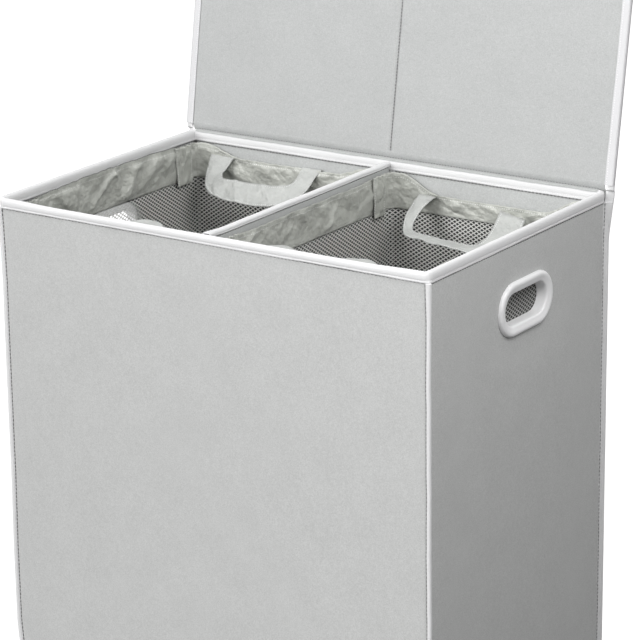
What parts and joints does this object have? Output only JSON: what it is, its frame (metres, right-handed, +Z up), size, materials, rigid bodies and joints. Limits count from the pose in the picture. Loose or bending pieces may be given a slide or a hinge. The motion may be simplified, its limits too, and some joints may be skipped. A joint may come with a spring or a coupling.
{
  "type": "laundry hamper",
  "caption": "Fabric laundry hamper with two lift-out bags side by side, a divider between them, a hinged lid and an oval grip in each side.",
  "frame": {"origin": "centre of the underside, on the surface the hamper stands on", "axes": "+Z up; -Y to the front, away from the lid's hinge; +X to the right bin"},
  "size_m": [0.628, 0.4656, 1.0164],
  "materials": {
    "grey_cloth": "matte non-woven",
    "lining_cloth": "matte non-woven",
    "board": "matte",
    "white_tape": "woven binding tape",
    "satin": "satin",
    "net": "knitted net",
    "white_plastic": "semi-gloss moulded",
    "hook_tape": "hook and loop"
  },
  "bodies": {
    "hamper": {"back_board": "board", "back_cover": "grey_cloth", "back_left_corner_binding": "white_tape", "back_lining": "lining_cloth", "back_right_corner_binding": "white_tape", "base_binding": "white_tape", "base_board": "board", "base_cloth": "grey_cloth", "divider_back_flange": "lining_cloth", "divider_binding": "white_tape", "divider_board": "board", "divider_cover": "lining_cloth", "divider_front_flange": "lining_cloth", "front_board": "board", "front_cover": "grey_cloth", "front_left_corner_binding": "white_tape", "front_lining": "lining_cloth", "front_right_corner_binding": "white_tape", "left_board": "board", "left_cover": "grey_cloth", "left_grip_back_ring": "white_plastic", "left_grip_ring": "white_plastic", "left_hook_strip": "hook_tape", "left_lining": "lining_cloth", "lid_hinge_strip": "grey_cloth", "right_board": "board", "right_cover": "grey_cloth", "right_grip_back_ring": "white_plastic", "right_grip_ring": "white_plastic", "right_hook_strip": "hook_tape", "right_lining": "lining_cloth", "rim_binding": "white_tape"},
    "lid": {"lid_binding": "white_tape", "lid_cover": "grey_cloth", "lid_left_board": "board", "lid_lining": "lining_cloth", "lid_right_board": "board"},
    "left_bag": {"left_bag_back_left_tab": "satin", "left_bag_back_right_tab": "satin", "left_bag_band": "satin", "left_bag_base": "satin", "left_bag_front_left_tab": "satin", "left_bag_front_right_tab": "satin", "left_bag_loop_strip": "hook_tape", "left_bag_net": "net"},
    "left_bag_front_handle": {"left_bag_front_handle": "satin"},
    "left_bag_back_handle": {"left_bag_back_handle": "satin"},
    "right_bag": {"right_bag_back_left_tab": "satin", "right_bag_back_right_tab": "satin", "right_bag_band": "satin", "right_bag_base": "satin", "right_bag_front_left_tab": "satin", "right_bag_front_right_tab": "satin", "right_bag_loop_strip": "hook_tape", "right_bag_net": "net"},
    "right_bag_front_handle": {"right_bag_front_handle": "satin"},
    "right_bag_back_handle": {"right_bag_back_handle": "satin"}
  },
  "joints": [
    {"name": "lid_hinge", "type": "hinge", "parent": "hamper", "child": "lid", "pos_m": [0, 0.199, 0.6156], "axis": [1, 0, 0], "range_deg": [-160, 99.4], "deforming": ["lid_hinge_strip"]},
    {"name": "left_bag_lift", "type": "slide", "parent": "hamper", "child": "left_bag", "axis": [0, 0, 1], "range_m": [0, 0.64]},
    {"name": "left_bag_front_handle_swing", "type": "hinge", "parent": "left_bag", "child": "left_bag_front_handle", "pos_m": [-0.1499, -0.1857, 0.58], "axis": [1, 0, 0], "range_deg": [-100, 79]},
    {"name": "left_bag_back_handle_swing", "type": "hinge", "parent": "left_bag", "child": "left_bag_back_handle", "pos_m": [-0.1499, 0.1857, 0.58], "axis": [-1, 0, 0], "range_deg": [-53, 126]},
    {"name": "right_bag_lift", "type": "slide", "parent": "hamper", "child": "right_bag", "axis": [0, 0, 1], "range_m": [0, 0.64]},
    {"name": "right_bag_front_handle_swing", "type": "hinge", "parent": "right_bag", "child": "right_bag_front_handle", "pos_m": [0.1499, -0.1857, 0.58], "axis": [1, 0, 0], "range_deg": [-97, 82]},
    {"name": "right_bag_back_handle_swing", "type": "hinge", "parent": "right_bag", "child": "right_bag_back_handle", "pos_m": [0.1499, 0.1857, 0.58], "axis": [-1, 0, 0], "range_deg": [-59, 120]}
  ]
}
